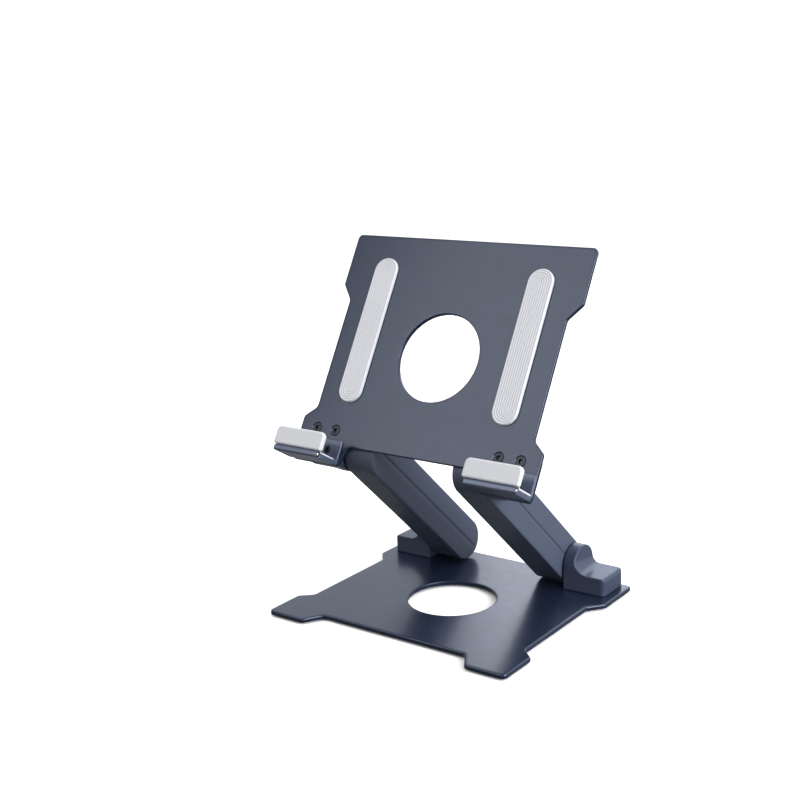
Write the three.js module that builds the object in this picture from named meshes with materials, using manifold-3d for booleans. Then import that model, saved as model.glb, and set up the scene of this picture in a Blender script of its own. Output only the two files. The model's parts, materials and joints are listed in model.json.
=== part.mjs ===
// Folding Z-shaped tablet stand. Millimetres, +Z up, front of the stand towards -Y.
// Origin: centre of the base plate's outline, on the surface that the rubber feet stand on.
// Two platforms, a base and a tray, share one plan. Each carries two hinge blocks near one edge, and two
// hollow arms link the blocks. A platform's own frame has its inner face at z = 0, its outer face below it,
// and its hinge axis along X at HINGE_Y, HINGE_Z. Right-hand pieces are built; left-hand ones are mirrored.
import * as THREE from 'three';
import { mergeVertices } from 'three/addons/utils/BufferGeometryUtils.js';
import Module from 'manifold-3d';

const wasm = await Module();
wasm.setup();

// ---- platforms
const PLATE_T = 2.8;
const PLATE_BEVEL = 0.7;
const PLATE_HALF_Y = 73;
const BODY_HALF_X = 75.7;
const TAB_HALF_X = 83.4;
const TAB_STEP = 12.2; // how far the corner tabs stand out of the stepped edge
const TAB_INNER_X = { base: 57.5, tray: 48.5 };
const TAB_RAMP_X = { base: 7.5, tray: 4 };
const SIDE_STEP_NEAR = [46, 39.5]; // side ramp beside the stepped edge
const SIDE_STEP_FAR = [39.5, 30]; // side ramp beside the plain edge
const CORNER_R = 2.5;
const HOLE_R = 26.9;

// ---- feet and tray grips
const FOOT = { length: 22, width: 9, sunk: 0.5, proud: 1.2, x: 68, y: 62 };
const GRIP = { length: 92, width: 16, sunk: 0.6, proud: 2, x: 54, y: -12 };
const POCKET_PLAY = 0.15;

// ---- hinge blocks
const HINGE_Y = 59.5;
const HINGE_Z = 13.4;
const LUG_R = 12.3;
const BLOCK_X = [50, 77.9];
const BLOCK_LOW_Z = 11.2;
const LUG_FACE_X = 57.4;
const SCOOP_R = { near: 8.8, far: 4.5 }; // fillet from the lug's face to the low box, at each end along Y
const CROWN = 2.5; // rounding of the low box's outer top edge
const BLOCK_CORNER_R = 3;
const BLOCK_FLOAT = 0.05; // gap under each block and bracket, so that pieces do not share a face
const PILOT = { r: 1.7, top: 7.6 };
const BLOCK_SCREW_XY = [[57, 52], [71, 52]];

// ---- arms
const ARM_X = [27.6, 49.2];
const ARM_R = 13; // round ends, and half the arm's thickness
const ARM_LENGTH = 114; // between the two hinge axes
const ARM_BEVEL = 1;
const ARM_WALL = 2;
const SEAM = 0.3;
const LINK = { x: [42, 46], r: 8.5, halfWidth: 6.5 };
const ARM_SCREW_Y = [-32, -82];
const ARM_POST = { x: 36, r: 3.2 };

// ---- hinge hardware, along X from the lug inwards
const SHAFT = { r: 4, shoulderR: 7, shoulder: [46.9, 49.7], tip: 33.6, root: 55.2 };
const WASHER = { r: 9, x: [46.2, 46.75] };
const DISC = { r: 8, x: [38.6, 41.7], t: 0.9 };
const NUT = { r: 6.4, x: [34.6, 38.3] };
const BORE_PLAY = 0.2;

// ---- hooks, in the tray's own frame
const HOOK_X = [50.6, 83.4];
const HOOK_ROOT_X = 48.6;
const LEDGE_Y = [70.2, 73];
const FLANGE = { y: 58, t: 1.2 };
const BARREL = { y: 71.1, z: -19.5, r: 1.9 };
const LIP = { z: [-20.5, -19.3], y: 59.4, x: [52.5, 81.5] };
const PIN_R = 1.25;
const HOOK_SCREW_XY = [[58, 64.5], [74, 64.5]];
const PAD = { x: [48.8, 84.7], z: [-21.7, -18.2], y: [57.9, 69.05], cornerR: 3.2 };
const LINER = { t: 0.95, end: -4.6, fillet: 2.2 };

// ---- screws: countersunk for blocks and hooks, cheese head for the arms
const BLOCK_SCREW = { r: 1.5, headR: 3.2, headH: 1.9, length: 9.5 };
const HOOK_SCREW = { r: 1.2, headR: 2.3, headH: 1.3, length: 7.5 };
const ARM_SCREW = { r: 1.1, headR: 2.3, headH: 1.6, length: 12 };
const SCREW_PLAY = 0.3;
const ARM_SCREW_SEAT = 5.5; // depth of the head's seat below the arm's back face

// ---- rest pose
const LIFT_DEG = 43; // arms above the folded position
const TRAY_OPEN_DEG = 102; // tray swung off the arms
const BASE_TOP_Z = FOOT.proud + PLATE_T;

// Steps in one arc. A corner's curve takes half as many.
const CURVE = 10;
const FINE = 20;
const HOLE_STEPS = 48;
const CORNER_STEPS = 6;
const rad = THREE.MathUtils.degToRad;

// A closed geometry as a manifold solid.
function solid(geometry) {
  const bare = geometry.clone();
  for (const name of ['normal', 'uv', 'uv1']) bare.deleteAttribute(name);
  const merged = mergeVertices(bare, 1e-4);
  return new wasm.Manifold(new wasm.Mesh({
    numProp: 3,
    vertProperties: merged.attributes.position.array,
    triVerts: new Uint32Array(merged.index.array),
  }));
}

// A manifold solid as a three.js geometry.
function geometryOf(made) {
  const mesh = made.getMesh();
  const geometry = new THREE.BufferGeometry();
  geometry.setAttribute('position', new THREE.BufferAttribute(mesh.vertProperties, 3));
  geometry.setIndex(new THREE.BufferAttribute(mesh.triVerts, 1));
  geometry.computeVertexNormals();
  return geometry;
}

// The axes that carry a flat shape's own x, y and depth into a platform's frame.
const [AX, AY, AZ] = [new THREE.Vector3(1, 0, 0), new THREE.Vector3(0, 1, 0), new THREE.Vector3(0, 0, 1)];
const ALONG = {
  z: new THREE.Matrix4(),
  x: new THREE.Matrix4().makeBasis(AY, AZ, AX), // shape (y, z) carried along X
  y: new THREE.Matrix4().makeBasis(AZ, AX, AY), // shape (z, x) carried along Y
};

// A flat shape carried along an axis from one level to another, with an optional rounded rim.
function slab(shape, axis, from, to, bevel = 0, steps = CURVE) {
  const geometry = new THREE.ExtrudeGeometry(shape, {
    depth: to - from - 2 * bevel,
    bevelEnabled: bevel > 0,
    bevelThickness: bevel,
    bevelSize: bevel,
    bevelOffset: -bevel,
    bevelSegments: 2,
    curveSegments: steps / 2,
  });
  return solid(geometry.translate(0, 0, from + bevel).applyMatrix4(ALONG[axis]));
}

// A rod along X, Y or Z between two levels, centred at the two other coordinates in cyclic order.
function rod(axis, r, from, to, u, v, steps = FINE) {
  const circle = new THREE.Shape().absarc(u, v, r, 0, 2 * Math.PI);
  return slab(circle, axis, from, to, 0, steps);
}

// A turned solid about X: the profile's [x, radius] points run towards +X along the outside.
function turned(profile, y, z, steps = FINE) {
  const points = profile.map(([x, r]) => new THREE.Vector2(r, -x)).reverse();
  const geometry = new THREE.LatheGeometry(points, steps);
  return solid(geometry.rotateZ(Math.PI / 2).translate(0, y, z));
}

// A closed outline through the corners, each [x, y, radius] rounded by its own radius.
function rounded(corners) {
  const shape = new THREE.Shape();
  const at = (i) => new THREE.Vector2(...corners[(i + corners.length) % corners.length]);
  corners.forEach(([, , r], i) => {
    const here = at(i);
    const cut = (other) => other.clone().sub(here).setLength(Math.max(r, 1e-3)).add(here);
    const [start, end] = [cut(at(i - 1)), cut(at(i + 1))];
    if (i === 0) shape.moveTo(start.x, start.y);
    else shape.lineTo(start.x, start.y);
    if (r > 0) shape.quadraticCurveTo(here.x, here.y, end.x, end.y);
  });
  shape.closePath();
  return shape;
}

// A stadium centred at (x, y), long side along the first axis.
function stadium(x, y, length, width) {
  const r = width / 2;
  const half = length / 2 - r;
  const shape = new THREE.Shape();
  shape.absarc(x + half, y, r, -Math.PI / 2, Math.PI / 2);
  shape.absarc(x - half, y, r, Math.PI / 2, 1.5 * Math.PI);
  shape.closePath();
  return shape;
}

const both = (x) => [x, -x];
const cutAll = (body, cuts) => cuts.reduce((left, cut) => left.subtract(cut), body);

// Plan of a platform. The stepped edge is at -Y on the base and at +Y, the hinge side, on the tray.
function platformPlan(kind) {
  const side = kind === 'base' ? -1 : 1;
  const edge = PLATE_HALF_Y;
  const inner = TAB_INNER_X[kind];
  const right = [
    [inner - TAB_RAMP_X[kind], edge - TAB_STEP, 3],
    [inner, edge, CORNER_R],
    [TAB_HALF_X, edge, CORNER_R],
    [TAB_HALF_X, SIDE_STEP_NEAR[0], CORNER_R],
    [BODY_HALF_X, SIDE_STEP_NEAR[1], 3],
    [BODY_HALF_X, -SIDE_STEP_FAR[1], 3],
    [TAB_HALF_X, -SIDE_STEP_FAR[0], CORNER_R],
    [TAB_HALF_X, -edge, CORNER_R],
  ];
  const left = right.map(([x, y, r]) => [-x, y, r]).reverse();
  const plan = [...right, ...left].map(([x, y, r]) => [x, y * side, r]);
  return rounded(side > 0 ? plan.reverse() : plan);
}

// Countersunk clearance from the outer face at z = outer, through to the inner face.
function countersink(x, y, screw, outer) {
  const deep = screw.headH + SCREW_PLAY;
  const seat = new THREE.CylinderGeometry(screw.r + SCREW_PLAY, screw.headR + SCREW_PLAY, deep, CURVE);
  seat.rotateX(Math.PI / 2).translate(x, y, outer + deep / 2);
  return solid(seat).add(rod('z', screw.r + SCREW_PLAY, outer, outer + 6, x, y, CURVE));
}

function platePlain(kind) {
  const hole = rod('z', HOLE_R, -PLATE_T - 1, 1, 0, 0, HOLE_STEPS);
  return slab(platformPlan(kind), 'z', -PLATE_T, 0, PLATE_BEVEL, CORNER_STEPS).subtract(hole);
}

function blockScrewCuts() {
  return BLOCK_SCREW_XY.flatMap(([x, y]) => both(x).map((at) => countersink(at, y, BLOCK_SCREW, -PLATE_T)));
}

function footShape(x, y, play = 0) {
  return stadium(x, y, FOOT.length + 2 * play, FOOT.width + 2 * play);
}

function basePlate() {
  const pockets = both(FOOT.x).flatMap((x) => both(FOOT.y).map((y) => (
    slab(footShape(x, y, POCKET_PLAY), 'z', -PLATE_T - 1, -PLATE_T + FOOT.sunk))));
  return cutAll(platePlain('base'), [...blockScrewCuts(), ...pockets]);
}

// The grip's long side runs up the tray, so the stadium's axes are swapped by a quarter turn.
function gripSlab(x, z, play = 0) {
  const shape = stadium(0, 0, GRIP.length + 2 * play, GRIP.width + 2 * play);
  return slab(shape, 'z', ...z).rotate([0, 0, 90]).translate([x, GRIP.y, 0]);
}

function trayPlate() {
  const pockets = both(GRIP.x).map((x) => gripSlab(x, [-PLATE_T - 1, -PLATE_T + GRIP.sunk], POCKET_PLAY));
  const hookHoles = HOOK_SCREW_XY.flatMap(([x, y]) => both(x).map((at) => (
    rod('z', HOOK_SCREW.r + 0.3, -PLATE_T - 1, 1, at, y))));
  return cutAll(platePlain('tray'), [...blockScrewCuts(), ...pockets, ...hookHoles]);
}

function foot(x, y) {
  return slab(footShape(x, y), 'z', -PLATE_T - FOOT.proud, -PLATE_T + FOOT.sunk - 0.1, 0.3);
}

function grip(x) {
  return gripSlab(x, [-PLATE_T - GRIP.proud, -PLATE_T + GRIP.sunk - 0.1]);
}

// The space outboard of the lug and above the low box, at one end along Y: a quadrant with a round corner.
function scoopEnd(y, r) {
  const [far, top] = [BLOCK_X[1] + 1, HINGE_Z + LUG_R + 1];
  const quadrant = new THREE.Shape(); // (z, x), the order in which a shape is carried along Y
  quadrant.moveTo(top, LUG_FACE_X);
  quadrant.lineTo(top, far);
  quadrant.lineTo(BLOCK_LOW_Z, far);
  quadrant.lineTo(BLOCK_LOW_Z, LUG_FACE_X + r);
  quadrant.absarc(BLOCK_LOW_Z + r, LUG_FACE_X + r, r, -Math.PI, -Math.PI / 2);
  quadrant.closePath();
  return slab(quadrant, 'y', y - 0.5, y + 0.5, 0, FINE);
}

// Hinge block: a round-topped lug beside the arm, and a low box outboard, joined by a hollow scoop.
// It is where three carried outlines meet, the end view, the front view and the plan, less the scoop.
function hingeBlock(extraPilots = []) {
  const [x0, x1] = BLOCK_X;
  const [y0, y1] = [HINGE_Y - LUG_R, HINGE_Y + LUG_R];
  const top = HINGE_Z + LUG_R + 0.5;
  const end = new THREE.Shape();
  end.moveTo(y0, BLOCK_FLOAT);
  end.lineTo(y1, BLOCK_FLOAT);
  end.lineTo(y1, HINGE_Z);
  end.absarc(HINGE_Y, HINGE_Z, LUG_R, 0, Math.PI);
  end.closePath();
  const front = new THREE.Shape(); // (z, x)
  front.moveTo(-1, x0);
  front.lineTo(top, x0);
  front.lineTo(top, x1 - CROWN);
  front.lineTo(BLOCK_LOW_Z, x1 - CROWN);
  front.quadraticCurveTo(BLOCK_LOW_Z, x1, BLOCK_LOW_Z - CROWN, x1);
  front.lineTo(-1, x1);
  front.closePath();
  const plan = rounded([[x0, y0, 0.8], [x1, y0, BLOCK_CORNER_R], [x1, y1, BLOCK_CORNER_R], [x0, y1, 0.8]]);
  const body = slab(end, 'x', x0 - 1, x1 + 1, 0, FINE)
    .intersect(slab(front, 'y', y0 - 1, y1 + 1, 0, FINE))
    .intersect(slab(plan, 'z', -1, top, 0, CORNER_STEPS));
  const scoop = wasm.Manifold.hull([scoopEnd(y0 - 0.5, SCOOP_R.near), scoopEnd(y1 + 0.5, SCOOP_R.far)]);
  const bore = rod('x', SHAFT.r + BORE_PLAY, x0 - 1, SHAFT.root + 0.3, HINGE_Y, HINGE_Z);
  const pilots = [...BLOCK_SCREW_XY, ...extraPilots].map(([x, y]) => (
    rod('z', PILOT.r, -1, PILOT.top, x, y, CURVE)));
  return cutAll(body, [scoop, bore, ...pilots]);
}

// Screws point along +Z from a head whose outer face is at z = 0.
function countersunkScrew({ r, headR, headH, length }) {
  const profile = [[0, 0], [0, headR], [headH, r], [length - r, r], [length, 0]];
  return turned(profile, 0, 0, CURVE).rotate([0, -90, 0]);
}

function cheeseScrew({ r, headR, headH, length }) {
  const profile = [[0, 0], [0, headR], [headH, headR], [headH, r], [length - r, r], [length, 0]];
  return turned(profile, 0, 0, CURVE).rotate([0, -90, 0]);
}

// ---- arm pieces: the arm lies along -Y from the base hinge axis at y = 0, z = 0
const ARM_MID_Y = -ARM_LENGTH / 2;

function armOutline(r) {
  return stadium(ARM_MID_Y, 0, ARM_LENGTH + 2 * r, 2 * r);
}

function armHull() {
  return slab(armOutline(ARM_R), 'x', ARM_X[0], ARM_X[1], ARM_BEVEL, FINE);
}

// One half of the arm: side is 1 for the back cover, with the screw seats, and -1 for the front cover.
function armCover(side) {
  const keep = new THREE.BoxGeometry(40, 160, 20);
  keep.translate((ARM_X[0] + ARM_X[1]) / 2, ARM_MID_Y, side * (10 + SEAM / 2));
  const hollow = slab(armOutline(ARM_R - ARM_WALL), 'x', ARM_X[0] + ARM_WALL, ARM_X[1] - ARM_WALL, 0, CURVE);
  const doors = [0, -ARM_LENGTH].map((y) => (
    rod('x', SHAFT.shoulderR + 0.4, ARM_X[1] - ARM_WALL - 1, ARM_X[1] + 1, y, 0)));
  const [low, high] = side > 0 ? [0, ARM_R - 1] : [1 - ARM_R, 0];
  const posts = ARM_SCREW_Y.map((y) => rod('z', ARM_POST.r, low, high, ARM_POST.x, y, CURVE));
  const seats = ARM_SCREW_Y.map((y) => {
    const shank = rod('z', ARM_SCREW.r + 0.2, -8, ARM_R, ARM_POST.x, y, CURVE);
    if (side < 0) return shank;
    return shank.add(rod('z', ARM_SCREW.headR + 0.2, ARM_R - ARM_SCREW_SEAT, ARM_R + 1, ARM_POST.x, y, CURVE));
  });
  const shell = cutAll(armHull(), [hollow, ...doors]);
  const whole = posts.reduce((body, post) => body.add(post), shell);
  return cutAll(whole.intersect(solid(keep)), seats);
}

function armLink() {
  const { x, r, halfWidth } = LINK;
  const bar = new THREE.Shape();
  bar.moveTo(0, -halfWidth);
  bar.lineTo(0, halfWidth);
  bar.lineTo(-ARM_LENGTH, halfWidth);
  bar.lineTo(-ARM_LENGTH, -halfWidth);
  bar.closePath();
  const ends = [0, -ARM_LENGTH].map((y) => rod('x', r, x[0], x[1], y, 0));
  const body = ends.reduce((left, eye) => left.add(eye), slab(bar, 'x', x[0], x[1]));
  const bores = [0, -ARM_LENGTH].map((y) => rod('x', SHAFT.r + BORE_PLAY, x[0] - 1, x[1] + 1, y, 0));
  return cutAll(body, bores);
}

// ---- hinge hardware, about the X axis through y = 0, z = 0
function shaft() {
  const { r, shoulderR, shoulder, tip, root } = SHAFT;
  return turned([
    [tip, 0], [tip, r - 0.5], [tip + 0.5, r], [shoulder[0], r], [shoulder[0], shoulderR],
    [shoulder[1], shoulderR], [shoulder[1], r], [root, r], [root, 0],
  ], 0, 0);
}

function frictionWasher() {
  const ring = new THREE.Shape().absarc(0, 0, WASHER.r, 0, 2 * Math.PI);
  ring.holes.push(new THREE.Path().absarc(0, 0, SHAFT.r + BORE_PLAY, 0, 2 * Math.PI, true));
  return slab(ring, 'x', ...WASHER.x, 0, FINE);
}

// Two disc springs nested as one coned ring.
function discSpring() {
  const inner = SHAFT.r + BORE_PLAY;
  const [near, far] = DISC.x;
  return turned([
    [near, inner], [far - DISC.t, DISC.r], [far, DISC.r], [near + DISC.t, inner], [near, inner],
  ], 0, 0);
}

function nut() {
  const hex = new THREE.Shape();
  for (let i = 0; i < 6; i += 1) {
    const [y, z] = [NUT.r * Math.cos(i * Math.PI / 3), NUT.r * Math.sin(i * Math.PI / 3)];
    if (i === 0) hex.moveTo(y, z);
    else hex.lineTo(y, z);
  }
  hex.closePath();
  hex.holes.push(new THREE.Path().absarc(0, 0, SHAFT.r + BORE_PLAY, 0, 2 * Math.PI, true));
  return slab(hex, 'x', ...NUT.x, 0, FINE);
}

// ---- hook pieces, in the tray's frame: -Z is out of the tray's front face, +Y is down the tray
function hookBracket() {
  const face = -PLATE_T - BLOCK_FLOAT;
  const [top, bottom] = LEDGE_Y;
  const profile = new THREE.Shape(); // (y, z), carried along X
  profile.moveTo(FLANGE.y, face);
  profile.lineTo(FLANGE.y, face - FLANGE.t);
  profile.lineTo(top - 1, face - FLANGE.t);
  profile.quadraticCurveTo(top, face - FLANGE.t, top, face - FLANGE.t - 1);
  profile.lineTo(top, BARREL.z);
  profile.lineTo(bottom, BARREL.z);
  profile.lineTo(bottom, face);
  profile.closePath();
  const [x0, x1] = HOOK_X;
  const plan = rounded([
    [HOOK_ROOT_X, 0, 0], [x0, BARREL.z - BARREL.r - 1, 0], [x1, BARREL.z - BARREL.r - 1, 0], [x1, 0, 0],
  ].map(([x, z, r]) => [z, x, r]).reverse());
  const lip = new THREE.Shape();
  const [front, back] = LIP.z;
  lip.moveTo(LIP.y, front);
  lip.lineTo(BARREL.y, front);
  lip.lineTo(BARREL.y, back);
  lip.lineTo(LIP.y, back);
  lip.closePath();
  const body = slab(profile, 'x', HOOK_ROOT_X, x1, 0)
    .add(rod('x', BARREL.r, HOOK_ROOT_X, x1, BARREL.y, BARREL.z))
    .intersect(slab(plan, 'y', FLANGE.y - 1, bottom + 1))
    .add(slab(lip, 'x', ...LIP.x));
  const channel = rod('x', PIN_R + 0.15, HOOK_ROOT_X - 1, x1 + 1, BARREL.y, BARREL.z);
  const holes = HOOK_SCREW_XY.map(([x, y]) => countersink(x, y, HOOK_SCREW, face - FLANGE.t));
  return cutAll(body, [channel, ...holes]);
}

// Pad: a sleeve over the lip, with a thin liner that runs back along the ledge under the tablet's edge.
function hookPad() {
  const [front, back] = PAD.z;
  const [top, bottom] = PAD.y;
  const sleeve = rounded([
    [PAD.x[0], bottom, 1.6], [PAD.x[0], top, PAD.cornerR], [PAD.x[1], top, PAD.cornerR], [PAD.x[1], bottom, 1.6],
  ].reverse());
  const liner = new THREE.Shape(); // (y, z)
  liner.moveTo(bottom - LINER.fillet, back - 0.2);
  liner.quadraticCurveTo(bottom, back, bottom, back + LINER.fillet);
  liner.lineTo(bottom, LINER.end);
  liner.lineTo(bottom + LINER.t, LINER.end);
  liner.lineTo(bottom + LINER.t, BARREL.z + BARREL.r + 0.3);
  liner.lineTo(bottom - 0.05, BARREL.z + BARREL.r + 0.1);
  liner.lineTo(bottom - 0.05, back - 0.2);
  liner.closePath();
  const pocket = new THREE.Shape();
  pocket.moveTo(LIP.y - 0.3, LIP.z[0] - 0.2);
  pocket.lineTo(bottom + 1, LIP.z[0] - 0.2);
  pocket.lineTo(bottom + 1, LIP.z[1] + 0.2);
  pocket.lineTo(LIP.y - 0.3, LIP.z[1] + 0.2);
  pocket.closePath();
  return slab(sleeve, 'z', front, back, 0.7, 6)
    .add(slab(liner, 'x', HOOK_X[0] + 0.4, HOOK_X[1], 0, 6))
    .subtract(slab(pocket, 'x', LIP.x[0] - 0.3, LIP.x[1] + 0.3));
}

function hookPin() {
  const [x0, x1] = HOOK_X;
  return turned([
    [x0 - 0.4, 0], [x0 - 0.4, PIN_R - 0.3], [x0 - 0.1, PIN_R], [x1 + 0.1, PIN_R],
    [x1 + 0.4, PIN_R - 0.3], [x1 + 0.4, 0],
  ], BARREL.y, BARREL.z, CURVE);
}

// ---- finishes
const finish = (color, roughness, metalness = 0) => new THREE.MeshStandardMaterial({ color, roughness, metalness });
const PAINTED_PLATE = finish(0x555c69, 0.42, 0.35);
const MOULDED = finish(0x4a5160, 0.5);
const STEEL = finish(0x9fa3a8, 0.35, 1);
const ZINC = finish(0xc2c6cc, 0.3, 1);
const SILICONE = finish(0xc6c8cc, 0.65);
const RUBBER = finish(0x24262a, 0.85);

function add(group, name, made, material) {
  const mesh = new THREE.Mesh(geometryOf(made), material);
  mesh.name = name;
  group.add(mesh);
  return mesh;
}

// A group for each side: the left one is mirrored about the stand's middle plane.
function sided(parent, build) {
  for (const [side, sign] of [['right', 1], ['left', -1]]) {
    const group = new THREE.Group();
    group.scale.x = sign;
    parent.add(group);
    build(group, side);
  }
}

function addHinge(group, where, side) {
  const axis = new THREE.Group();
  axis.position.set(0, HINGE_Y, HINGE_Z);
  group.add(axis);
  add(axis, `${where}_hinge_shaft_${side}`, shaft(), STEEL);
  add(axis, `${where}_friction_washer_${side}`, frictionWasher(), STEEL);
  add(axis, `${where}_disc_spring_${side}`, discSpring(), STEEL);
  add(axis, `${where}_hinge_nut_${side}`, nut(), ZINC);
}

function addBlock(group, where, side, extraPilots) {
  add(group, `${where}_hinge_block_${side}`, hingeBlock(extraPilots), MOULDED);
  BLOCK_SCREW_XY.forEach(([x, y], i) => {
    const screw = add(group, `${where}_block_screw_${side}_${i + 1}`, countersunkScrew(BLOCK_SCREW), ZINC);
    screw.position.set(x, y, -PLATE_T + 0.1);
  });
}

const stand = new THREE.Group();

const base = new THREE.Group();
base.position.z = BASE_TOP_Z;
stand.add(base);
add(base, 'base_plate', basePlate(), PAINTED_PLATE);
sided(base, (group, side) => {
  addBlock(group, 'base', side);
  addHinge(group, 'base', side);
  add(group, `foot_front_${side}`, foot(FOOT.x, -FOOT.y), RUBBER);
  add(group, `foot_rear_${side}`, foot(FOOT.x, FOOT.y), RUBBER);
});

const arms = new THREE.Group();
arms.position.set(0, HINGE_Y, BASE_TOP_Z + HINGE_Z);
arms.rotation.x = -rad(LIFT_DEG);
stand.add(arms);
sided(arms, (group, side) => {
  add(group, `arm_back_cover_${side}`, armCover(1), MOULDED);
  add(group, `arm_front_cover_${side}`, armCover(-1), MOULDED);
  add(group, `arm_link_bar_${side}`, armLink(), STEEL);
  ARM_SCREW_Y.forEach((y, i) => {
    const screw = add(group, `arm_screw_${side}_${i + 1}`, cheeseScrew(ARM_SCREW), ZINC);
    screw.rotation.x = Math.PI;
    screw.position.set(ARM_POST.x, y, ARM_R - ARM_SCREW_SEAT + ARM_SCREW.headH + 0.1);
  });
});

const tray = new THREE.Group();
tray.position.y = -ARM_LENGTH;
tray.rotation.x = rad(180 + TRAY_OPEN_DEG);
arms.add(tray);
const trayFrame = new THREE.Group(); // the tray's platform, carried by its hinge axis
trayFrame.position.set(0, -HINGE_Y, -HINGE_Z);
tray.add(trayFrame);
add(trayFrame, 'tray_plate', trayPlate(), PAINTED_PLATE);
sided(trayFrame, (group, side) => {
  addBlock(group, 'tray', side, HOOK_SCREW_XY);
  addHinge(group, 'tray', side);
  add(group, `tray_grip_${side}`, grip(GRIP.x), SILICONE);
  add(group, `hook_bracket_${side}`, hookBracket(), PAINTED_PLATE);
  add(group, `hook_pad_${side}`, hookPad(), SILICONE);
  add(group, `hook_pin_${side}`, hookPin(), ZINC);
  HOOK_SCREW_XY.forEach(([x, y], i) => {
    const screw = add(group, `hook_screw_${side}_${i + 1}`, countersunkScrew(HOOK_SCREW), ZINC);
    screw.position.set(x, y, -PLATE_T - FLANGE.t + 0.1);
  });
});

export default stand;
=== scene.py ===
"""A folding Z-shaped tablet stand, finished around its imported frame.

Two platforms of one plan, a base and a tray, carry hinge blocks, and two hollow arms link the blocks. Each
sub-assembly is a class with its sizes in millimetres in its own frame. A platform's frame has its inner
face at z = 0, its outer face below it and its hinge axis along X; an arm's has its lower hinge axis at the
origin and lies along -Y. Right-hand pieces are worked out, and left-hand ones are mirrored in X.
"""

import json
import logging
from dataclasses import dataclass, field
from enum import Enum
from math import atan2, cos, pi, radians, sin

import bmesh
import bpy
import numpy as np
from mathutils import Matrix, Vector
from mathutils.geometry import tessellate_polygon


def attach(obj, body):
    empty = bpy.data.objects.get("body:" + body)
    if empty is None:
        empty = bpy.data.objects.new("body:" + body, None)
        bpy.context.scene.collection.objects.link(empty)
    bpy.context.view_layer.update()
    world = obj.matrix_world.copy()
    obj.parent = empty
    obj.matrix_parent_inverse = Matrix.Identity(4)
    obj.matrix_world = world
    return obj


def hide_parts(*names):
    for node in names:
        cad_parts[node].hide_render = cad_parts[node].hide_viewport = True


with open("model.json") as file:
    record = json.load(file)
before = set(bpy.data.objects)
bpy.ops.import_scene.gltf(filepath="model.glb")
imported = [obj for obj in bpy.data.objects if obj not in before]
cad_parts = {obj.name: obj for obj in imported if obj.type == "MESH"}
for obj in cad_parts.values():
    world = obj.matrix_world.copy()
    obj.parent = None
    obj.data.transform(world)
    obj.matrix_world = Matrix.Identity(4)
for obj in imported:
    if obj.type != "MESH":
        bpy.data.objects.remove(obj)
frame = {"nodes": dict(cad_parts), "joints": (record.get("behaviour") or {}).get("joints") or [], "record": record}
LOG = logging.getLogger("tablet_stand")

MM = 0.001
SHARP_DEG = 32.0
# Painted highlight on rounded edges: the mesh's pointiness at which it starts, and at which it is strongest.
HIGHLIGHT_FROM, HIGHLIGHT_FULL = 0.56, 0.66  # pointiness at which an edge starts to lighten, and is lightest


class Side(Enum):
    """Which half of the stand a piece is on, with the sign of its X."""

    RIGHT = 1
    LEFT = -1

    @property
    def label(self) -> str:
        """The side's word in a piece's name."""
        return self.name.lower()


class Half(Enum):
    """Which cover of an arm, with the sign of its Z in the arm's own frame."""

    BACK = 1
    FRONT = -1

    @property
    def flip(self) -> np.ndarray:
        """The matrix that gives Z this half's sign."""
        return np.diag([1.0, 1.0, float(self.value)])


class Platform(Enum):
    """Which of the two platforms a piece belongs to. The value is its body's name."""

    BASE = "base"
    TRAY = "tray"


# ---------------------------------------------------------------- finishes


def srgb(code: str) -> tuple[float, float, float, float]:
    """Turn an sRGB hex colour to linear.

    Args:
        code: Six hex digits, with or without a leading #.
    Returns:
        Linear red, green, blue and an alpha of 1.
    """
    raw = np.array([int(code.lstrip("#")[i : i + 2], 16) for i in (0, 2, 4)]) / 255.0
    linear = np.where(raw <= 0.04045, raw / 12.92, ((raw + 0.055) / 1.055) ** 2.4)
    return (*linear.tolist(), 1.0)


def add_node(tree: bpy.types.NodeTree, kind: str, settings: dict, inputs: dict) -> bpy.types.Node:
    """Add a node with its settings, socket values and links.

    Args:
        tree: The node tree that takes it.
        kind: The node's type name without its ShaderNode prefix.
        settings: Property names and values.
        inputs: Socket names or numbers, each with a value or with an output socket to link from.
    Returns:
        The new node.
    """
    node = tree.nodes.new("ShaderNode" + kind)
    for name, value in settings.items():
        setattr(node, name, value)
    for name, value in inputs.items():
        if isinstance(value, bpy.types.NodeSocket):
            tree.links.new(value, node.inputs[name])
        else:
            node.inputs[name].default_value = value
    return node


def per_mm(size_mm: float) -> float:
    """Pattern scale, in repeats for each metre, of a feature of a real size."""
    return 1.0 / (size_mm * MM)


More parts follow.
